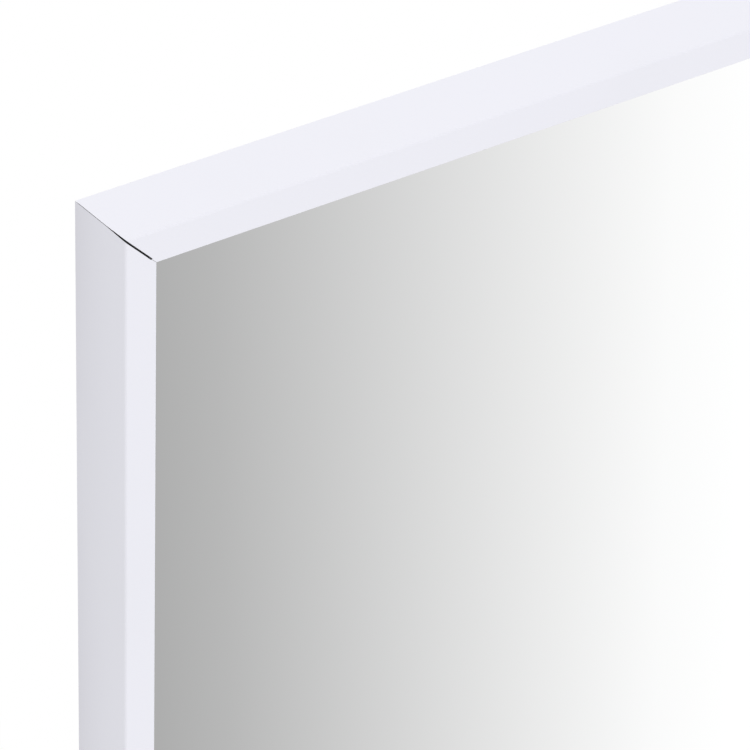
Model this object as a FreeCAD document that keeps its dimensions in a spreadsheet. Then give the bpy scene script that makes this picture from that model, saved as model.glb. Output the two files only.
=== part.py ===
import FreeCAD, Part
import math
import os
import re
import Sketcher
from FreeCAD import Placement, Rotation, Vector

# A wall mirror in a slim metal frame. The origin is the middle of the wall plane behind it:
# +X to the right and +Z up as seen from the front, and the glass faces -Y.

# Driving dimensions, in millimetres
sizes = {
    # Frame section, mitres and edges
    "frame_width": 600,
    "frame_height": 800,
    "frame_depth": 25,
    "face_width": 10,
    "metal_wall": 1.2,
    "channel_height": 4.4,
    "slot_width": 4.6,
    "front_edge_radius": 0.7,
    "rear_edge_radius": 0.5,
    "lip_edge_radius": 0.4,
    "mitre_gap": 0.12,
    "mitre_opening": 0.55,
    "mitre_opening_depth": 9.5,
    "mitre_toe": 1.6,
    # Gasket, glass, tape and board
    "gasket_thickness": 0.8,
    "gasket_setback": 1.6,
    "gasket_clearance": 0.2,
    "glass_thickness": 4,
    "glass_clearance": 1,
    "glass_arris": 0.3,
    "tape_thickness": 1,
    "tape_width": 20,
    "tape_end_margin": 60,
    "tape_spacing": 190,
    "board_thickness": 3,
    "board_clearance": 1.2,
    # Corner keys, shims and set screws
    "channel_clearance": 0.2,
    "key_leg": 34,
    "key_thickness": 2.4,
    "shim_thickness": 0.8,
    "set_screw_diameter": 4,
    "set_screw_recess": 0.2,
    "set_screw_end_margin": 6,
    "set_screw_pitch": 12,
    "set_screw_slot_width": 0.6,
    "set_screw_slot_depth": 0.9,
    "set_screw_point": 0.5,
    "thread_clearance": 0.05,
    # Spring clips
    "clip_length": 48,
    "clip_width": 7,
    "clip_thickness": 0.6,
    "clip_clearance": 0.05,
    "clip_end_distance": 150,
    # Hangers
    "hanger_drop": 230,
    "hanger_thickness": 1.2,
    "hanger_plate_width": 11.2,
    "hanger_inset": 0.8,
    "hanger_tail": 7.5,
    "hanger_corner_cut": 1.5,
    "eye_rise": 9.5,
    "eye_width": 7.2,
    "eye_offset": 3,
    "eye_clearance": 0.2,
    "eye_slit": 0.3,
    "nut_length": 12,
    "nut_thickness": 2.6,
    "nut_clearance": 0.3,
    "hanger_screw_diameter": 4,
    "hanger_head_diameter": 6.2,
    "hanger_screw_end_gap": 0.8,
    "hanger_hole_clearance": 0.1,
    "drive_width": 0.8,
    "drive_length": 3.6,
    "drive_depth": 0.8,
    # D-rings
    "wire_diameter": 2,
    "ring_half_width": 5.6,
    "ring_bend_radius": 1.6,
    "ring_leg": 5,
    # Bumpers, which set the frame's distance from the wall
    "bumper_thickness": 5,
    "bumper_diameter": 9,
    "bumper_tip_diameter": 7.6,
    "bumper_edge_radius": 0.8,
    "bumper_end_distance": 60,
    # Added to cuts so that they pass clean through
    "overrun": 2,
}

# Heights in the frame section, measured forwards from the rear of the rails
channel_depth = "(2 * metal_wall + channel_height)"
channel_floor_rear = "(metal_wall + channel_height)"
lip_rear = "(frame_depth - metal_wall)"
glass_front = f"({lip_rear} - gasket_thickness)"
glass_rear = f"({glass_front} - glass_thickness)"
tape_rear = f"({glass_rear} - tape_thickness)"
board_rear = f"({tape_rear} - board_thickness)"
shim_rear = f"({channel_floor_rear} - shim_thickness)"

# The slot's centre line, the key's edges and the eye of a hanger
slot_line = "(face_width / 2)"
key_outer = "(metal_wall + channel_clearance)"
key_inner = "(face_width - metal_wall - channel_clearance)"
eye_bore_radius = "(wire_diameter / 2 + eye_clearance)"
eye_radius = f"({eye_bore_radius} + hanger_thickness)"

# The turn about Y that carries a piece from the top rail, or the top right corner, to its own place
side_turns = {"top": 0, "right": 90, "bottom": 180, "left": -90}
corners = {
    "top_right": (0, "frame_width / 2", "frame_height / 2"),
    "bottom_right": (90, "frame_width / 2", "-frame_height / 2"),
    "bottom_left": (180, "-frame_width / 2", "-frame_height / 2"),
    "top_left": (-90, "-frame_width / 2", "frame_height / 2"),
}
match_tolerance = 1e-6

doc = FreeCAD.newDocument("framed_mirror")
sheet = doc.addObject("Spreadsheet::Sheet", "Sizes")
for row, (alias, number) in enumerate(sizes.items(), start=1):
    sheet.set(f"A{row}", alias)
    sheet.set(f"B{row}", str(number))
    sheet.setAlias(f"B{row}", alias)
doc.recompute()


def formula(text):
    """Writes each size name in the text as a reference to its cell."""
    return re.sub(r"[a-z_]+", lambda word: f"Sizes.{word[0]}" if word[0] in sizes else word[0], text)


def value(text):
    """The number that a formula gives now."""
    return float(sheet.evalExpression(formula(text)))


def bind(thing, **formulas):
    """Ties properties of an object to formulas in size names."""
    for name, text in formulas.items():
        thing.setExpression(name.replace("__", "."), formula(text))


def new_body(label):
    body = doc.addObject("PartDesign::Body", label)
    body.Label = label
    return body


def sketch_on(body, name, role, lift, across="0", turn=0):
    """A sketch off one of the body's origin planes: lifted along its normal, moved across, then turned."""
    sketch = body.newObject("Sketcher::SketchObject", f"{body.Label}_{name}")
    plane = next(item for item in body.Origin.OriginFeatures if item.Role == role)
    sketch.AttachmentSupport = [(plane, "")]
    sketch.MapMode = "FlatFace"
    sketch.AttachmentOffset = Placement(Vector(), Rotation(Vector(0, 1, 0), turn))
    bind(sketch, AttachmentOffset__Base__z=lift, AttachmentOffset__Base__x=across)
    return sketch


def hold_point(sketch, item, end, x, y):
    """Fixes one point of the sketch at two formulas."""
    for kind, text in (("DistanceX", x), ("DistanceY", y)):
        index = sketch.addConstraint(Sketcher.Constraint(kind, item, end, value(text)))
        sketch.setExpression(f"Constraints[{index}]", formula(text))


def outline(body, name, role, points, lift="0", across="0", turn=0):
    """A sketch of one closed straight-sided loop, each corner given by two formulas."""
    sketch = sketch_on(body, name, role, lift, across, turn)
    spots = [Vector(value(x), value(y), 0) for x, y in points]
    for start, end in zip(spots, spots[1:] + spots[:1]):
        sketch.addGeometry(Part.LineSegment(start, end), False)
    for step, (x, y) in enumerate(points):
        sketch.addConstraint(Sketcher.Constraint("Coincident", step, 2, (step + 1) % len(points), 1))
        hold_point(sketch, step, 1, x, y)
    return sketch


def circles(body, name, role, rings, lift="0"):
    """A sketch of circles, each given by its centre and its diameter."""
    sketch = sketch_on(body, name, role, lift)
    for x, y, across in rings:
        centre = Vector(value(x), value(y), 0)
        item = sketch.addGeometry(Part.Circle(centre, Vector(0, 0, 1), value(across) / 2), False)
        hold_point(sketch, item, 3, x, y)
        index = sketch.addConstraint(Sketcher.Constraint("Diameter", item, value(across)))
        sketch.setExpression(f"Constraints[{index}]", formula(across))
    return sketch


def pad(body, sketch, length, reverse=False, symmetric=False):
    feature = body.newObject("PartDesign::Pad", f"{sketch.Name}_pad")
    feature.Profile = sketch
    feature.Reversed = reverse
    feature.SideType = "Symmetric" if symmetric else "One side"
    bind(feature, Length=length)
    doc.recompute()
    return feature


def pocket(body, sketch, depth, reverse=False, symmetric=False):
    """A cut of the given depth, which must take something away."""
    before = body.Shape.Volume
    feature = body.newObject("PartDesign::Pocket", f"{sketch.Name}_cut")
    feature.Profile = sketch
    feature.Reversed = reverse
    feature.SideType = "Symmetric" if symmetric else "One side"
    bind(feature, Length=depth)
    doc.recompute()
    if not body.Shape.Volume < before:
        raise RuntimeError(f"{feature.Name} cuts nothing")
    return feature


def edges_at(shape, centres):
    """Names of the edges whose middle lies at one of the given points."""
    found = []
    for number, edge in enumerate(shape.Edges, start=1):
        middle = edge.CenterOfMass
        if any((middle - spot).Length < match_tolerance for spot in centres):
            found.append(f"Edge{number}")
    if len(found) != len(centres):
        raise RuntimeError(f"{len(centres)} edges wanted, {len(found)} found")
    return found


def dress(body, kind, size, centres):
    """A fillet or a chamfer on the edges with the given middles."""
    base = body.Tip
    feature = body.newObject(f"PartDesign::{kind}", f"{body.Label}_{kind.lower()}")
    feature.Base = (base, edges_at(base.Shape, centres))
    bind(feature, **{"Radius" if kind == "Fillet" else "Size": size})
    doc.recompute()
    return feature


def place(piece, turn=0, x="0", z="0", rear="0", corner=("0", "0")):
    """Puts a piece in the frame: x and z turn with it about the corner, rear counts forwards."""
    cosine = round(math.cos(math.radians(turn)))
    sine = round(math.sin(math.radians(turn)))
    piece.Placement = Placement(Vector(), Rotation(Vector(0, 1, 0), turn))
    bind(
        piece,
        Placement__Base__x=f"{corner[0]} + {cosine} * ({x}) + {sine} * ({z})",
        Placement__Base__y=f"-bumper_thickness - ({rear})",
        Placement__Base__z=f"{corner[1]} - {sine} * ({x}) + {cosine} * ({z})",
    )
    return piece


def rail_length(side):
    return "frame_width" if side in ("top", "bottom") else "frame_height"


def on_rail(piece, side, along="0"):
    """Seats a piece on the slot's centre line of one rail."""
    span = "frame_height" if side in ("top", "bottom") else "frame_width"
    return place(piece, side_turns[side], along, f"{span} / 2 - {slot_line}")


def rectangle(left, right, low, high):
    return [(left, low), (right, low), (right, high), (left, high)]


# Rails: one extruded section with a front lip, an outer wall and a T-slot channel at the rear
def section_point(inward, forward):
    return f"-({forward})", f"{slot_line} - ({inward})"


# The mitre's two cuts seen along the mitre: a close joint, and the wedge by which it gapes at the front
mitre_slope = "((mitre_opening - mitre_gap) / 2 / mitre_opening_depth)"
mitre_cut = rectangle("-mitre_gap / 2", "face_width + overrun", "-frame_depth - overrun", "overrun")
mitre_wedge = [
    ("-mitre_gap / 2", "mitre_opening_depth - frame_depth"),
    (f"-mitre_opening / 2 - {mitre_slope} * overrun", "-frame_depth - overrun"),
    ("face_width + overrun", "-frame_depth - overrun"),
    ("face_width + overrun", "mitre_opening_depth - frame_depth"),
]


def rail(side):
    body = new_body(f"{side}_rail")
    length = rail_length(side)
    slot_outer = "(face_width - slot_width) / 2"
    slot_inner = "(face_width + slot_width) / 2"
    section = [
        section_point("0", "0"),
        section_point("0", "frame_depth"),
        section_point("face_width", "frame_depth"),
        section_point("face_width", lip_rear),
        section_point("metal_wall", lip_rear),
        section_point("metal_wall", channel_depth),
        section_point("face_width", channel_depth),
        section_point("face_width", "0"),
        section_point(slot_inner, "0"),
        section_point(slot_inner, "metal_wall"),
        section_point("face_width - metal_wall", "metal_wall"),
        section_point("face_width - metal_wall", channel_floor_rear),
        section_point("metal_wall", channel_floor_rear),
        section_point("metal_wall", "metal_wall"),
        section_point(slot_outer, "metal_wall"),
        section_point(slot_outer, "0"),
    ]
    pad(body, outline(body, "section", "YZ_Plane", section), length, symmetric=True)
    front = -value("frame_depth")
    half_face = value(slot_line)
    dress(body, "Fillet", "front_edge_radius", [Vector(0, front, half_face)])
    dress(body, "Fillet", "rear_edge_radius", [Vector(0, 0, half_face)])
    dress(body, "Fillet", "lip_edge_radius", [Vector(0, front, -half_face)])
    for name, end, turn in (("right", f"{length} / 2", 45), ("left", f"-{length} / 2", 135)):
        mitre = outline(body, f"mitre_{name}", "XY_Plane", mitre_cut, slot_line, end, turn)
        pocket(body, mitre, "2 * (sqrt(2) * face_width + overrun)", symmetric=True)
        wedge = outline(body, f"wedge_{name}", "XY_Plane", mitre_wedge, slot_line, end, turn)
        pocket(body, wedge, "sqrt(2) * (face_width - mitre_toe)", reverse=name == "left")
    return on_rail(body, side)


# Corner keys and shims: L-shaped plates in the rear channels
def corner_plate(label, corner, rear, thickness):
    body = new_body(label)
    turn, *spot = corners[corner]
    shape = [
        (f"-{key_outer}", f"-{key_outer}"),
        ("-key_leg", f"-{key_outer}"),
        ("-key_leg", f"-{key_inner}"),
        (f"-{key_inner}", f"-{key_inner}"),
        (f"-{key_inner}", "-key_leg"),
        (f"-{key_outer}", "-key_leg"),
    ]
    pad(body, outline(body, "plate", "XZ_Plane", shape, rear), thickness)
    return place(body, turn, corner=spot)


def screw_spots():
    """Places of one corner's set screws, along both legs of the key."""
    spots = []
    last = "(key_leg - set_screw_end_margin)"
    for distance in (last, f"({last} - set_screw_pitch)"):
        spots.append((f"-{distance}", f"-{slot_line}"))
        spots.append((f"-{slot_line}", f"-{distance}"))
    return spots


def corner_key(corner):
    body = corner_plate(f"corner_key_{corner}", corner, "metal_wall", "key_thickness")
    across = "set_screw_diameter + 2 * thread_clearance"
    holes = [(x, z, across) for x, z in screw_spots()]
    pocket(body, circles(body, "holes", "XZ_Plane", holes), channel_floor_rear, reverse=True)
    return body


def corner_shim(corner):
    return corner_plate(f"corner_shim_{corner}", corner, shim_rear, "shim_thickness")


def corner_set_screws():
    """Slotted grub screws: sixteen links to one screw, kept as a group of separate solids."""
    screw = new_body("set_screw")
    length = f"({shim_rear} - metal_wall - set_screw_recess)"
    pad(screw, circles(screw, "shank", "XZ_Plane", [("0", "0", "set_screw_diameter")]), length)
    dress(screw, "Chamfer", "set_screw_point", [Vector(0, -value(length), 0)])
    slot = rectangle(
        "-set_screw_diameter", "set_screw_diameter", "-set_screw_slot_width / 2", "set_screw_slot_width / 2")
    pocket(screw, outline(screw, "slot", "XZ_Plane", slot), "set_screw_slot_depth", reverse=True)
    links = []
    for corner, (turn, *spot) in corners.items():
        for x, z in screw_spots():
            link = doc.addObject("App::Link", f"set_screw_{corner}")
            link.LinkedObject = screw
            links.append(place(link, turn, x, z, "metal_wall + set_screw_recess", spot))
    group = doc.addObject("Part::Compound", "corner_set_screws")
    group.Label = "corner_set_screws"
    group.Links = links
    return group


# Gaskets: rubber strips that bed the glass on the front lip, set back from the lip's edge
def gasket(side):
    body = new_body(f"gasket_{side}")
    outer = "(metal_wall + gasket_clearance)"
    inner = "(face_width - gasket_setback)"
    end = outer if side in ("top", "bottom") else f"({inner} + gasket_clearance)"
    half = f"({rail_length(side)} / 2 - {end})"
    shape = rectangle(f"-{half}", half, f"{slot_line} - {inner}", f"{slot_line} - {outer}")
    pad(body, outline(body, "strip", "XZ_Plane", shape, glass_front), "gasket_thickness")
    return on_rail(body, side)


# Flat pieces held in the frame: glass, tape and board
def sheet_piece(label, half_width, half_height, rear, thickness, middle="0"):
    body = new_body(label)
    shape = rectangle(f"-{half_width}", half_width, f"-{half_height}", half_height)
    pad(body, outline(body, "sheet", "XZ_Plane", shape, rear), thickness)
    return place(body, x=middle)


def held_half(overall, clearance):
    return f"({overall} / 2 - metal_wall - {clearance})"


def mirror_glass():
    half_width = held_half("frame_width", "glass_clearance")
    half_height = held_half("frame_height", "glass_clearance")
    body = sheet_piece("mirror_glass", half_width, half_height, glass_rear, "glass_thickness")
    centres = []
    for forward in (glass_front, glass_rear):
        for sign in (1, -1):
            centres.append(Vector(sign * value(half_width), -value(forward), 0))
            centres.append(Vector(0, -value(forward), sign * value(half_height)))
    dress(body, "Chamfer", "glass_arris", centres)
    return body


def foam_tapes():
    half_height = f"({held_half('frame_height', 'glass_clearance')} - tape_end_margin)"
    tapes = []
    for name, step in (("left", -1), ("middle", 0), ("right", 1)):
        middle = f"{step} * tape_spacing"
        tapes.append(sheet_piece(
            f"foam_tape_{name}", "(tape_width / 2)", half_height, tape_rear, "tape_thickness", middle))
    return tapes


def backing_board():
    half_width = held_half("frame_width", "board_clearance")
    half_height = held_half("frame_height", "board_clearance")
    return sheet_piece("backing_board", half_width, half_height, board_rear, "board_thickness")


# Spring clips: bowed steel strips between the channel and the board
def spring_clip(side, number, along):
    rise = f"({board_rear} - {channel_depth} - clip_clearance - clip_thickness)"
    inner_radius = f"((clip_length ^ 2 / 4 + {rise} ^ 2) / (2 * {rise}))"
    outer_radius = f"({inner_radius} + clip_thickness)"
    half_angle = f"(2 * atan({rise} / (clip_length / 2)))"
    label = f"clip_{side}_{number}"
    rolls = []
    for name, radius in (("outer", outer_radius), ("inner", inner_radius)):
        roll = doc.addObject("Part::Cylinder", f"{label}_{name}")
        roll.Placement = Placement(Vector(), Rotation(Vector(0, 0, 1), 1))
        bind(
            roll,
            Radius=radius,
            Height="clip_width",
            Angle=f"2 * {half_angle}",
            Placement__Rotation__Angle=f"90 deg - {half_angle}",
            Placement__Base__y=f"-({channel_depth} + clip_clearance + {outer_radius})",
            Placement__Base__z="-clip_width / 2",
        )
        rolls.append(roll)
    clip = doc.addObject("Part::Cut", label)
    clip.Label = label
    clip.Base, clip.Tool = rolls
    return on_rail(clip, side, along)


def spring_clips():
    clips = []
    for side in side_turns:
        reach = f"({rail_length(side)} / 2 - clip_end_distance)"
        steps = (-1, 1) if side in ("top", "bottom") else (-1, 0, 1)
        for number, step in enumerate(steps, start=1):
            clips.append(spring_clip(side, number, f"{step} * {reach}"))
    return clips


# Hangers: a plate with a rolled eye, clamped in the slot of a side rail by a screw and a nut.
# Inward is 1 on the left rail and -1 on the right one.
def at_hanger(body, inward, x="0", rear="0", above="0"):
    line = f"{-inward} * (frame_width / 2 - {slot_line}) + {inward} * ({x})"
    return place(body, x=line, z=f"frame_height / 2 - hanger_drop + {above}", rear=rear)


def hanger_plate(side, inward):
    body = new_body(f"hanger_plate_{side}")
    outer = f"{inward} * (hanger_inset - {slot_line})"
    inner = f"{inward} * (hanger_inset - {slot_line} + hanger_plate_width)"
    outer_cut = f"{outer} + {inward} * hanger_corner_cut"
    inner_cut = f"{inner} - {inward} * hanger_corner_cut"
    shape = [
        (outer, "eye_rise"),
        (outer, "hanger_corner_cut - hanger_tail"),
        (outer_cut, "-hanger_tail"),
        (inner_cut, "-hanger_tail"),
        (inner, "hanger_corner_cut - hanger_tail"),
        (inner, "eye_rise"),
    ]
    pad(body, outline(body, "plate", "XZ_Plane", shape), "hanger_thickness", reverse=True)
    eye = [
        (eye_radius, "eye_rise", f"2 * {eye_radius}"),
        (eye_radius, "eye_rise", f"2 * {eye_bore_radius}"),
    ]
    rings = circles(body, "eye", "YZ_Plane", eye, f"{inward} * eye_offset")
    pad(body, rings, "eye_width", symmetric=True)
    gap = rectangle(
        "hanger_thickness", "hanger_thickness + eye_slit", f"eye_rise - {eye_radius} - overrun", "eye_rise")
    slit = outline(body, "slit", "YZ_Plane", gap, f"{inward} * eye_offset")
    pocket(body, slit, "eye_width + overrun", symmetric=True)
    across = "hanger_screw_diameter + 2 * hanger_hole_clearance"
    hole = circles(body, "hole", "XZ_Plane", [("0", "0", across)])
    pocket(body, hole, "hanger_thickness + overrun")
    countersink = "(hanger_head_diameter - hanger_screw_diameter) / 2"
    dress(body, "Chamfer", countersink, [Vector(0, value("hanger_thickness"), 0)])
    return at_hanger(body, inward)


def channel_nut(side, inward):
    body = new_body(f"channel_nut_{side}")
    half_width = f"({slot_line} - metal_wall - nut_clearance)"
    shape = rectangle(f"-{half_width}", half_width, "-nut_length / 2", "nut_length / 2")
    pad(body, outline(body, "block", "XZ_Plane", shape, "metal_wall"), "nut_thickness")
    across = "hanger_screw_diameter + 2 * thread_clearance"
    hole = circles(body, "hole", "XZ_Plane", [("0", "0", across)])
    pocket(body, hole, channel_depth, reverse=True)
    return at_hanger(body, inward)


def hanger_screw(side, inward):
    """A flat-head screw, flush with the plate, that ends short of the channel floor."""
    body = new_body(f"hanger_screw_{side}")
    head = "hanger_head_diameter / 2"
    shank = "hanger_screw_diameter / 2"
    end = f"hanger_screw_end_gap - {channel_floor_rear}"
    profile = [
        ("0", "hanger_thickness"),
        (head, "hanger_thickness"),
        (shank, f"hanger_thickness - ({head} - {shank})"),
        (shank, end),
        ("0", end),
    ]
    half = outline(body, "profile", "XY_Plane", profile)
    turned = body.newObject("PartDesign::Revolution", f"{body.Label}_turned")
    turned.Profile = half
    turned.ReferenceAxis = (half, ["V_Axis"])
    turned.Angle = 360
    doc.recompute()
    for name, wide, tall in (("bar", "drive_length", "drive_width"), ("post", "drive_width", "drive_length")):
        arm = rectangle(f"-{wide} / 2", f"{wide} / 2", f"-{tall} / 2", f"{tall} / 2")
        recess = outline(body, f"drive_{name}", "XZ_Plane", arm, "-hanger_thickness")
        pocket(body, recess, "drive_depth", reverse=True)
    return at_hanger(body, inward)


# D-rings: one loop of wire with a straight bar in the eye, two legs and a round end
def ring_path(body):
    """The wire's centre line, with the middle of the bar at the origin."""
    sketch = sketch_on(body, "path", "XZ_Plane", "0")
    half = value("ring_half_width")
    bend = value("ring_bend_radius")
    low = -bend - value("ring_leg")
    normal = Vector(0, 0, 1)
    quarter = math.pi / 2
    pieces = [
        Part.LineSegment(Vector(bend - half, 0, 0), Vector(half - bend, 0, 0)),
        Part.ArcOfCircle(Part.Circle(Vector(half - bend, -bend, 0), normal, bend), 0, quarter),
        Part.LineSegment(Vector(half, -bend, 0), Vector(half, low, 0)),
        Part.ArcOfCircle(Part.Circle(Vector(0, low, 0), normal, half), 2 * quarter, 4 * quarter),
        Part.LineSegment(Vector(-half, low, 0), Vector(-half, -bend, 0)),
        Part.ArcOfCircle(Part.Circle(Vector(bend - half, -bend, 0), normal, bend), quarter, 2 * quarter),
    ]
    bar, bend_right, leg_right, round_end, leg_left, bend_left = sketch.addGeometry(pieces, False)
    joints = [
        (bar, 2, bend_right, 2),
        (bend_right, 1, leg_right, 1),
        (leg_right, 2, round_end, 2),
        (round_end, 1, leg_left, 1),
        (leg_left, 2, bend_left, 2),
        (bend_left, 1, bar, 1),
    ]
    for joint in joints:
        sketch.addConstraint(Sketcher.Constraint("Tangent", *joint))
    hold_point(sketch, bar, 1, "ring_bend_radius - ring_half_width", "0")
    hold_point(sketch, leg_right, 1, "ring_half_width", "-ring_bend_radius")
    hold_point(sketch, leg_left, 1, "-ring_half_width", "-ring_bend_radius - ring_leg")
    return sketch


def d_ring(side, inward):
    body = new_body(f"d_ring_{side}")
    path = ring_path(body)
    wire = circles(body, "wire", "YZ_Plane", [("0", "0", "wire_diameter")])
    doc.recompute()
    loop = body.newObject("PartDesign::AdditivePipe", f"{body.Label}_loop")
    loop.Profile = wire
    loop.Spine = path
    doc.recompute()
    return at_hanger(body, inward, "eye_offset", f"-{eye_radius}", "eye_rise")


# Bumpers: tapered rubber feet on the back of the bottom rail
def bumper(hand, outward):
    body = new_body(f"bumper_{hand}")
    disc = circles(body, "foot", "XZ_Plane", [("0", "0", "bumper_diameter")])
    foot = pad(body, disc, "bumper_thickness", reverse=True)
    bind(foot, TaperAngle="-atan((bumper_diameter - bumper_tip_diameter) / 2 / bumper_thickness)")
    doc.recompute()
    dress(body, "Fillet", "bumper_edge_radius", [Vector(0, value("bumper_thickness"), 0)])
    return on_rail(body, "bottom", f"{outward} * (frame_width / 2 - bumper_end_distance)")


pieces = [rail(side) for side in side_turns]
for corner in corners:
    pieces.append(corner_key(corner))
    pieces.append(corner_shim(corner))
pieces.append(corner_set_screws())
pieces += [gasket(side) for side in side_turns]
pieces.append(mirror_glass())
pieces += foam_tapes()
pieces.append(backing_board())
pieces += spring_clips()
for side, inward in (("left", 1), ("right", -1)):
    pieces.append(hanger_plate(side, inward))
    pieces.append(channel_nut(side, inward))
    pieces.append(hanger_screw(side, inward))
    pieces.append(d_ring(side, inward))
for hand, outward in (("left", 1), ("right", -1)):
    pieces.append(bumper(hand, outward))
doc.recompute()

for item in doc.Objects:
    if "Invalid" in item.State or "Error" in item.State:
        raise RuntimeError(f"{item.Label} failed: {item.State}")
for piece in pieces:
    if piece.Shape.isNull() or not piece.Shape.isValid():
        raise RuntimeError(f"{piece.Label} has no valid shape")

os.makedirs("parts", exist_ok=True)
for piece in pieces:
    piece.Shape.exportStep(f"parts/{piece.Label}.step")
print(len(pieces), "pieces written")
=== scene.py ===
import math

import bpy
from mathutils import Matrix, Vector


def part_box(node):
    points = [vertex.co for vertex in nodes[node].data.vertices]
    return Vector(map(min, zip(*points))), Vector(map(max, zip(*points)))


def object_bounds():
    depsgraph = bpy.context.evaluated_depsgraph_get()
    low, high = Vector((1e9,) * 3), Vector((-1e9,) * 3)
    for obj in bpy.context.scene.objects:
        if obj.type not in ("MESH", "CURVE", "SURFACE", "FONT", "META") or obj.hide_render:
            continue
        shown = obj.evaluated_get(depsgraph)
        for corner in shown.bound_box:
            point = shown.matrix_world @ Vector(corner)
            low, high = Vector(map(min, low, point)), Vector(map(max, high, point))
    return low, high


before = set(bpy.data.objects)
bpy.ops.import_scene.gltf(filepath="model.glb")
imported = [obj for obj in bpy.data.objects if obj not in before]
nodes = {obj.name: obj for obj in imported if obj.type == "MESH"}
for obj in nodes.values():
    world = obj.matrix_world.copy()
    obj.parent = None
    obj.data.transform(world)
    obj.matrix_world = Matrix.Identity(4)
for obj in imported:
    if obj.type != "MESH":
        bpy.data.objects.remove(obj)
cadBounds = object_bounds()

scene = bpy.context.scene
scene.view_settings.view_transform = "Standard"
mm = 0.001  # one millimetre in metres
print("frame loaded:", len(nodes), "pieces")


class Wire:
    # a socket to reckon with: every operator adds a Math node
    def __init__(self, bench, socket):
        self.bench = bench
        self.socket = socket

    def maths(self, operation, *inputs):
        return self.bench.node("ShaderNodeMath", {"operation": operation}, dict(enumerate(inputs)))

    def __add__(self, other):
        return self.maths("ADD", self, other)

    def __radd__(self, other):
        return self.maths("ADD", other, self)

    def __sub__(self, other):
        return self.maths("SUBTRACT", self, other)

    def __rsub__(self, other):
        return self.maths("SUBTRACT", other, self)

    def __mul__(self, other):
        return self.maths("MULTIPLY", self, other)

    def __rmul__(self, other):
        return self.maths("MULTIPLY", other, self)

    def __truediv__(self, other):
        return self.maths("DIVIDE", self, other)

    def __rtruediv__(self, other):
        return self.maths("DIVIDE", other, self)

    def __abs__(self):
        return self.maths("ABSOLUTE", self)

    def wave(self, pitch):  # 0 to 1 and back over each pitch
        return self.maths("SINE", self * (math.tau / pitch)) * 0.5 + 0.5

    def swing(self, reach):  # a noise of 0 to 1 as a change about nothing, reach from end to end
        return reach * (self - 0.5)

    def between(self, low, high):  # 0 below low, 1 above high, eased
        return self.bench.node("ShaderNodeMapRange", {"interpolation_type": "SMOOTHSTEP"},
                               {"Value": self, "From Min": low, "From Max": high})


class Bench:
    # a node tree at work: node() adds any node to it
    def __init__(self, tree):
        self.tree = tree
        tree.nodes.clear()

    def node(self, kind, settings=None, sockets=None, out=0):
        made = self.tree.nodes.new(kind)
        for key, value in (settings or {}).items():
            if key == "stops":
                self.setStops(made.color_ramp, value)
            else:
                setattr(made, key, value)
        for key, value in (sockets or {}).items():
            socket = made.inputs[key]
            if isinstance(value, Wire):
                self.tree.links.new(value.socket, socket)
            elif socket.type == "RGBA":
                socket.default_value = (*value, 1)
            else:
                socket.default_value = value
        return Wire(self, made.outputs[out]) if made.outputs else None

    def setStops(self, ramp, stops):
        while len(ramp.elements) < len(stops):
            ramp.elements.new(1)
        for element, (position, colour) in zip(ramp.elements, stops):
            element.position = position
            element.color = (*colour, 1)

    def place(self):
        return self.node("ShaderNodeTexCoord", out="Object")

    def facing(self):
        return self.node("ShaderNodeTexCoord", out="Normal")

    def parts(self, vector):
        split = self.node("ShaderNodeSeparateXYZ", None, {0: vector}).socket.node
        return [Wire(self, socket) for socket in split.outputs]

    def stretch(self, vector, factors):
        return self.node("ShaderNodeVectorMath", {"operation": "MULTIPLY"}, {0: vector, 1: factors})

    def noise(self, vector, scale=1.0, detail=2.0, roughness=0.5):  # scale in grains to the metre
        return self.node("ShaderNodeTexNoise", None,
                         {"Vector": vector, "Scale": scale, "Detail": detail, "Roughness": roughness})

    def mix(self, factor, first, second):
        return self.node("ShaderNodeMix", {"data_type": "RGBA"}, {0: factor, 6: first, 7: second}, out=2)

    def bump(self, height, strength, depth):
        return self.node("ShaderNodeBump", None, {"Height": height, "Strength": strength, "Distance": depth})

    def principled(self, sockets):
        shader = self.node("ShaderNodeBsdfPrincipled", None, sockets)
        self.node("ShaderNodeOutputMaterial", None, {"Surface": shader})


def startFinish(name):
    material = bpy.data.materials.new(name)
    material.use_nodes = True
    return material, Bench(material.node_tree)


def dress(material, names):
    for name in names:
        for slot in nodes[name].material_slots:
            slot.material = material
    print(material.name, "on", len(names), "pieces")


def named(*starts):
    return sorted(name for name in nodes if name.startswith(starts))


# rails: satin powder coat on an aluminium section, bare metal on the sawn mitres, and painted shade that
# darkens the outer sides towards the rear
railLook = {
    "white": (0.866, 0.866, 0.934),
    "paintedRearShade": (0.771, 0.767, 0.83),  # painted shade: the outer sides, darker towards the rear
    "sideBand": (0.4, 0.7),  # how far a face looks sideways, from none to all of an outer side that takes the painted shade
    "thinWhite": (0.846, 0.849, 0.908),  # where the coat lies thinner
    "thinShare": 0.5,
    "thinCloud": {"scale": 14, "detail": 3},
    "thinBand": (0.45, 0.75),
    "roughness": 0.4,
    "peel": {"scale": 1100, "detail": 2},
    "peelGloss": 0.1,
    "peelStrength": 0.35,
    "peelDepth": 0.012 * mm,
    "sawnBand": (0.3, 0.42),  # sideways times upright part of a face's direction, 0.5 on a mitre
    "sawnMetal": (0.33, 0.335, 0.345),
    "sawLine": (0.231, 0.2345, 0.2415),
    "sawPitch": 0.35 * mm,
    "sawnRoughness": 0.5,
}


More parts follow.
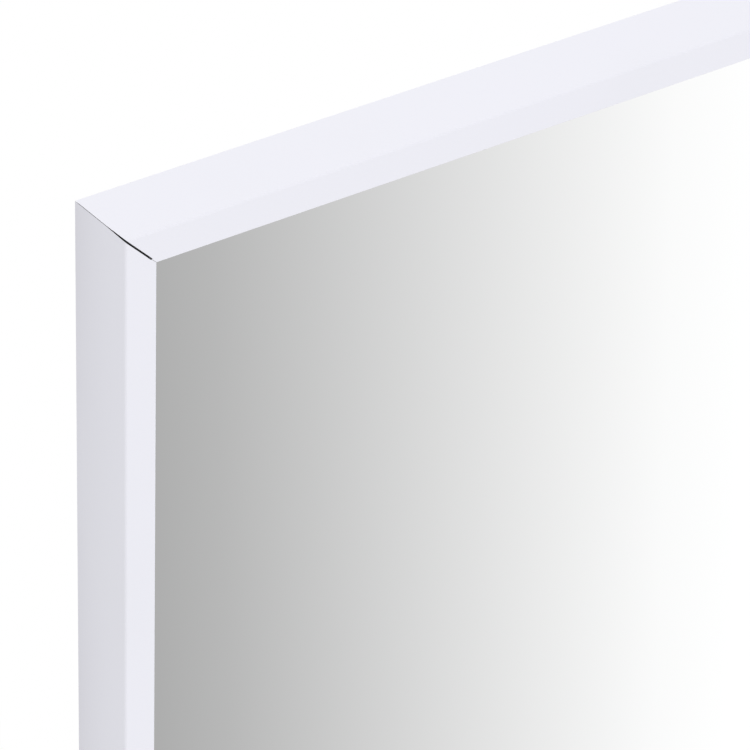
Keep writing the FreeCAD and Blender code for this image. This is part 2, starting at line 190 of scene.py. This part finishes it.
def coatFinish(look, railNames):
    material, bench = startFinish("satinWhiteCoat")
    low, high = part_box("left_rail")
    place = bench.place()
    _, deep, _ = bench.parts(place)
    sideways, _, upright = bench.parts(bench.facing())
    peel = bench.noise(place, **look["peel"])
    thin = bench.noise(place, **look["thinCloud"]).between(*look["thinBand"])
    sawn = (abs(sideways) * abs(upright)).between(*look["sawnBand"])
    outerSide = abs(sideways).between(*look["sideBand"])
    rearShadeRamp = (deep - low.y) / (high.y - low.y)
    # painted shade: outer sides grow darker towards the rear
    colour = bench.mix(outerSide * rearShadeRamp * rearShadeRamp, look["white"], look["paintedRearShade"])
    colour = bench.mix(look["thinShare"] * thin, colour, look["thinWhite"])
    bare = bench.mix(deep.wave(look["sawPitch"]), look["sawnMetal"], look["sawLine"])
    rougher = look["sawnRoughness"] - look["roughness"]
    bench.principled({
        "Base Color": bench.mix(sawn, colour, bare),
        "Metallic": sawn,
        "Roughness": look["roughness"] + peel.swing(look["peelGloss"]) + sawn * rougher,
        "Normal": bench.bump(peel, look["peelStrength"], look["peelDepth"]),
    })
    dress(material, railNames)


coatFinish(railLook, named("top_rail", "right_rail", "bottom_rail", "left_rail"))


# glass: silver seen through the front, ground green edges, grey paint on the back
glassLook = {
    "silver": (0.965, 0.968, 0.967),
    "silverRoughness": 0.004,
    "haze": 0.012,  # what wiping leaves
    "wipe": {"scale": 5, "detail": 4},
    "wipeStretch": (1, 1, 0.35),
    "wipeBand": (0.5, 0.8),
    "faceBand": (0.6, 0.9),  # how squarely a face looks forwards or back
    "edgeGreen": (0.16, 0.30, 0.25),
    "backPaint": (0.19, 0.2, 0.21),
    "thickPaint": (0.152, 0.16, 0.168),
    "paintMottle": {"scale": 60, "detail": 3},
    "paintRoughness": 0.55,
}


def glassFinish(look):
    material, bench = startFinish("silveredGlass")
    place = bench.place()
    _, rearward, _ = bench.parts(bench.facing())
    front = (0 - rearward).between(*look["faceBand"])
    rear = rearward.between(*look["faceBand"])
    wiped = bench.noise(bench.stretch(place, look["wipeStretch"]), **look["wipe"]).between(*look["wipeBand"])
    paint = bench.mix(bench.noise(place, **look["paintMottle"]), look["backPaint"], look["thickPaint"])
    body = bench.mix(rear, look["edgeGreen"], paint)
    silverRoughness = look["silverRoughness"] + look["haze"] * wiped
    bench.principled({
        "Base Color": bench.mix(front, body, look["silver"]),
        "Metallic": front,
        "Roughness": look["paintRoughness"] * (1 - front) + front * silverRoughness,
    })
    dress(material, ["mirror_glass"])


glassFinish(glassLook)


# backing board: pressed wood fibre, with stray pale fibres and the faint print of the press screen
boardLook = {
    "brown": (0.245, 0.142, 0.072),
    "darkFibre": (0.135, 0.073, 0.036),
    "paleFibre": (0.36, 0.235, 0.13),
    "grain": {"scale": 1300, "detail": 5, "roughness": 0.65},
    "grainBand": (0.35, 0.65),
    "grainGloss": 0.16,
    "grainRelief": 0.5,
    "fibre": {"scale": 300, "detail": 4, "roughness": 0.6},
    "fibreThin": 0.2,  # how far the stray fibres are drawn out
    "fibreBand": (0.58, 0.72),
    "fibreShare": 0.3,
    "fibreRelief": 0.3,
    "mottle": {"scale": 45, "detail": 4, "roughness": 0.6},
    "mottleBand": (0.4, 0.66),
    "mottleShare": 0.22,
    "stain": {"scale": 5, "detail": 3},
    "stainBand": (0.4, 0.7),
    "stainShare": 0.16,
    "screenPitch": 1.8 * mm,
    "screenShare": 0.14,
    "reliefStrength": 0.8,
    "reliefDepth": 0.1 * mm,
    "roughness": 0.72,
}


def boardFinish(look):
    material, bench = startFinish("pressedFibreBoard")
    place = bench.place()
    across, _, tall = bench.parts(place)
    grain = bench.noise(place, **look["grain"])
    upright = bench.noise(bench.stretch(place, (1, 1, look["fibreThin"])), **look["fibre"])
    level = bench.noise(bench.stretch(place, (look["fibreThin"], 1, 1)), **look["fibre"])
    stray = upright.between(*look["fibreBand"]) + level.between(*look["fibreBand"])
    mottle = bench.noise(place, **look["mottle"]).between(*look["mottleBand"])
    stain = bench.noise(place, **look["stain"]).between(*look["stainBand"])
    screen = across.wave(look["screenPitch"]) * tall.wave(look["screenPitch"])
    colour = bench.mix(grain.between(*look["grainBand"]), look["darkFibre"], look["brown"])
    colour = bench.mix(look["fibreShare"] * stray, colour, look["paleFibre"])
    colour = bench.mix(look["mottleShare"] * mottle, colour, look["darkFibre"])
    colour = bench.mix(look["stainShare"] * stain, colour, look["paleFibre"])
    relief = screen + look["grainRelief"] * grain + look["fibreRelief"] * stray
    bench.principled({
        "Base Color": bench.mix(look["screenShare"] * screen, colour, look["paleFibre"]),
        "Roughness": look["roughness"] + grain.swing(look["grainGloss"]),
        "Normal": bench.bump(relief, look["reliefStrength"], look["reliefDepth"]),
    })
    dress(material, ["backing_board"])


boardFinish(boardLook)


# foam tape: closed cells between glass and board
foamLook = {
    "foam": (0.78, 0.78, 0.74),
    "cell": (0.6, 0.6, 0.56),
    "cellScale": 900,
    "cellBand": (0.2, 0.7),
    "cellGloss": 0.1,
    "cellStrength": 0.5,
    "cellDepth": 0.2 * mm,
    "roughness": 0.85,
}


def foamFinish(look):
    material, bench = startFinish("closedCellFoam")
    cells = bench.node("ShaderNodeTexVoronoi", None, {"Vector": bench.place(), "Scale": look["cellScale"]})
    bench.principled({
        "Base Color": bench.mix(cells.between(*look["cellBand"]), look["cell"], look["foam"]),
        "Roughness": look["roughness"] - look["cellGloss"] * cells,
        "Normal": bench.bump(cells, look["cellStrength"], look["cellDepth"]),
    })
    dress(material, named("foam_tape"))


foamFinish(foamLook)


# plated steel: what zinc, nickel, tempered and black pieces have in common
platedLook = {
    "spangleSoft": 0.6,
    "cloudDetail": 4,
    "cloudBand": (0.35, 0.7),
    "cloudGloss": 0.1,
    "drawnGrain": {"detail": 3, "roughness": 0.6},
    "streakBand": (0.45, 0.75),
    "drawnGloss": 0.14,
    "reliefStrength": 0.25,
}


def platedFinish(name, look, names):
    material, bench = startFinish(name)
    place = bench.place()
    crystals = {"Vector": place, "Scale": look["spangleScale"], "Smoothness": look["spangleSoft"]}
    spangle = bench.node("ShaderNodeTexVoronoi", {"feature": "SMOOTH_F1"}, crystals, out="Color")
    light, _, _ = bench.parts(spangle)
    cloud = bench.noise(place, look["cloudScale"], look["cloudDetail"])
    drawn = bench.noise(bench.stretch(place, look["drawn"]), **look["drawnGrain"])
    colour = bench.mix(cloud.between(*look["cloudBand"]), look["metal"], look["tint"])
    colour = bench.mix(look["spangle"] * light, colour, look["shade"])
    streaks = look["streak"] * drawn.between(*look["streakBand"])
    bench.principled({
        "Base Color": bench.mix(streaks, colour, look["shade"]),
        "Metallic": 1.0,
        "Roughness": look["roughness"] + drawn.swing(look["drawnGloss"]) + cloud.swing(look["cloudGloss"]),
        "Normal": bench.bump(drawn, look["reliefStrength"], look["relief"]),
    })
    dress(material, names)


# hanger plates, nuts and corner keys: bright zinc with a faint passivated tint
zincLook = {
    **platedLook,
    "metal": (0.66, 0.67, 0.68),
    "tint": (0.62, 0.61, 0.55),
    "shade": (0.40, 0.42, 0.45),
    "spangle": 0.3,
    "spangleScale": 420,
    "cloudScale": 70,
    "drawn": (2600, 2600, 130),  # rolling marks to the metre along each axis
    "streak": 0.35,
    "roughness": 0.34,
    "relief": 0.02 * mm,
}
platedFinish("zincPlate", zincLook, named("hanger_plate", "channel_nut", "corner_key"))

# hanger screws: the same zinc, turned, so finer marks run round them
screwLook = {**zincLook, "drawn": (5200, 900, 5200), "roughness": 0.28}
platedFinish("turnedZinc", screwLook, named("hanger_screw"))

# D-rings: bright nickel on drawn wire
ringLook = {
    **platedLook,
    "metal": (0.70, 0.675, 0.63),
    "tint": (0.66, 0.63, 0.575),
    "shade": (0.42, 0.40, 0.37),
    "spangle": 0.08,
    "spangleScale": 600,
    "cloudScale": 120,
    "drawn": (260, 4200, 4200),
    "streak": 0.22,
    "roughness": 0.2,
    "relief": 0.01 * mm,
}
platedFinish("nickelWire", ringLook, named("d_ring"))

# spring clips and shims: tempered strip, blue-black with clouds of straw
clipLook = {
    **platedLook,
    "metal": (0.155, 0.165, 0.19),
    "tint": (0.21, 0.185, 0.15),
    "shade": (0.07, 0.075, 0.085),
    "spangle": 0.12,
    "spangleScale": 300,
    "cloudScale": 45,
    "drawn": (900, 900, 900),
    "streak": 0.45,
    "roughness": 0.36,
    "relief": 0.015 * mm,
}
platedFinish("temperedStrip", clipLook, named("clip_", "corner_shim"))

# set screws: black oxide
setScrewLook = {
    **clipLook,
    "metal": (0.05, 0.05, 0.053),
    "tint": (0.075, 0.07, 0.066),
    "shade": (0.025, 0.025, 0.027),
    "roughness": 0.42,
}
platedFinish("blackOxide", setScrewLook, ["corner_set_screws"])


# bumpers and gaskets: black rubber with a dusty bloom
rubberLook = {
    "black": (0.022, 0.022, 0.024),
    "dusty": (0.07, 0.069, 0.067),
    "bloom": {"scale": 130, "detail": 4, "roughness": 0.6},
    "bloomBand": (0.45, 0.7),
    "bloomShare": 0.7,
    "bloomGloss": 0.2,
    "grain": {"scale": 2200, "detail": 2},
    "grainStrength": 0.5,
    "grainDepth": 0.05 * mm,
    "roughness": 0.7,
}


def rubberFinish(look):
    material, bench = startFinish("blackRubber")
    place = bench.place()
    bloom = bench.noise(place, **look["bloom"])
    grain = bench.noise(place, **look["grain"])
    dust = look["bloomShare"] * bloom.between(*look["bloomBand"])
    bench.principled({
        "Base Color": bench.mix(dust, look["black"], look["dusty"]),
        "Roughness": look["roughness"] + bloom.swing(look["bloomGloss"]),
        "Normal": bench.bump(grain, look["grainStrength"], look["grainDepth"]),
    })
    dress(material, named("bumper", "gasket"))


rubberFinish(rubberLook)


# light: pale and even all round, a little more of it from the front right and above
lightLook = {
    "even": 0.9,
    "lean": (0.115, -0.125, 0.16),
    "soften": 0.3,  # keeps rounded front edges from catching more light than the faces beside them
    # what polished pieces see round them: brightness by degrees from straight in front, + to the right
    "surround": (
        (-180, 0.47), (-165, 0.42), (-140, 0.95), (-118, 0.95),  # behind, on the left
        (-100, 0.72), (-86, 0.55), (-69, 0.72), (-54, 1.02),  # left
        (-45, 1.04), (-38.5, 0.62), (-35, 0.43), (-32, 0.4), (-20, 0.41),  # front left
        (-8, 0.5), (2, 0.73), (9, 0.82), (18, 0.6), (24, 0.43),  # front
        (27.8, 0.395), (30.4, 0.398), (32.4, 0.497), (34.3, 0.628),  # front right, which the photo shows
        (39.4, 0.998), (40.8, 1.047),
        (50, 1.02), (66, 0.72), (84, 0.55), (100, 0.72),  # right
        (118, 0.95), (140, 0.95), (165, 0.42), (180, 0.47),  # behind, on the right
    ),
    "surroundLean": 4.0,  # degrees that it turns from level to straight up
    "overhead": 0.97,  # what they see above, from skyLow to skyHigh as heights of the view's direction
    "skyLow": -0.4,
    "skyHigh": 0.6,
}
wholeTurn = 360  # degrees
ahead = 0.5  # where straight in front lies along the ramp


def lightRoom(look):
    world = bpy.data.worlds.new("paleRoom")
    world.use_nodes = True
    scene.world = world
    bench = Bench(world.node_tree)
    path = bench.node("ShaderNodeLightPath").socket.node.outputs
    outward = bench.node("ShaderNodeTexCoord", out="Generated")
    east, north, height = bench.parts(outward)
    leaning = bench.node("ShaderNodeVectorMath", {"operation": "DOT_PRODUCT"},
                         {0: outward, 1: look["lean"]}, "Value")
    turn = east.maths("ARCTAN2", east, 0 - north) / math.tau + ahead
    turn = turn + height * (look["surroundLean"] / wholeTurn)
    stops = [(degrees / wholeTurn + ahead, (value,) * 3) for degrees, value in look["surround"]]
    surround = bench.node("ShaderNodeValToRGB", {"stops": stops}, {0: turn})
    sky = height.between(look["skyLow"], look["skyHigh"])
    surround = bench.mix(sky, surround, (look["overhead"],) * 3)
    soft = look["even"] + leaning + look["soften"] * north * height
    colour = bench.mix(Wire(bench, path["Is Glossy Ray"]), soft, surround)
    colour = bench.mix(Wire(bench, path["Is Camera Ray"]), colour, (1, 1, 1))
    background = bench.node("ShaderNodeBackground", None, {"Color": colour})
    bench.node("ShaderNodeOutputWorld", None, {"Surface": background})
    print("room lit")


lightRoom(lightLook)


# floor: white, with the soft shadow round the foot of the frame
floorLook = {
    "half": 40.0,  # metres, as are the shadow's reaches
    "shadowNear": 0.12,
    "shadowFar": 0.7,
    "shadowShare": 0.95,
}


def layFloor(look):
    low, high = cadBounds
    half = look["half"]
    corners = [(-half, -half, low.z), (half, -half, low.z), (half, half, low.z), (-half, half, low.z)]
    mesh = bpy.data.meshes.new("floor")
    mesh.from_pydata(corners, [], [(0, 1, 2, 3)])
    floor = bpy.data.objects.new("floor", mesh)
    scene.collection.objects.link(floor)
    # only the camera sees it: light and polished pieces get the room's pale surround instead
    floor.visible_diffuse = False
    floor.visible_glossy = False
    floor.visible_transmission = False
    floor.visible_shadow = False
    material, bench = startFinish("paleFloor")
    material.cycles.emission_sampling = "NONE"
    across, deep, _ = bench.parts(bench.place())
    beside = across.maths("MAXIMUM", abs(across) - high.x, 0)
    away = beside.maths("SQRT", beside * beside + deep * deep)
    clear = away.between(look["shadowNear"], look["shadowFar"])
    lit = bench.node("ShaderNodeBsdfDiffuse", None, {"Color": (1, 1, 1)})
    white = bench.node("ShaderNodeEmission", None, {"Color": (1, 1, 1)})
    share = 1 - look["shadowShare"] * (1 - clear)
    surface = bench.node("ShaderNodeMixShader", None, {0: share, 1: lit, 2: white})
    bench.node("ShaderNodeOutputMaterial", None, {"Surface": surface})
    mesh.materials.append(material)
    print("floor laid at", round(low.z, 3))


layFloor(floorLook)


# camera: close on the top left corner, from the left, in front and above
cameraLook = {
    "azimuth": -37,  # degrees, as are the next two
    "elevation": 33.28,
    "roll": 2.15,
    "lens": 210,
    "distance": 1235.4 * mm,
    "aimAcross": 84 * mm,  # from the frame's outer top left corner
    "aimDown": 72.25 * mm,
}


def setCamera(look):
    low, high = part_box("left_rail")
    aim = Vector((low.x + look["aimAcross"], low.y, high.z - look["aimDown"]))
    azimuth = math.radians(look["azimuth"])
    elevation = math.radians(look["elevation"])
    reach = math.cos(elevation)
    back = Vector((math.sin(azimuth) * reach, -math.cos(azimuth) * reach, math.sin(elevation)))
    level = Vector((math.cos(azimuth), math.sin(azimuth), 0))
    right = Matrix.Rotation(math.radians(look["roll"]), 3, back) @ level
    up = back.cross(right)
    lens = bpy.data.cameras.new("photoCamera")
    lens.lens = look["lens"]
    camera = bpy.data.objects.new("photoCamera", lens)
    turned = Matrix((right, up, back)).transposed().to_4x4()
    camera.matrix_world = Matrix.Translation(aim + back * look["distance"]) @ turned
    scene.collection.objects.link(camera)
    scene.camera = camera
    print("camera set")


setCamera(cameraLook)
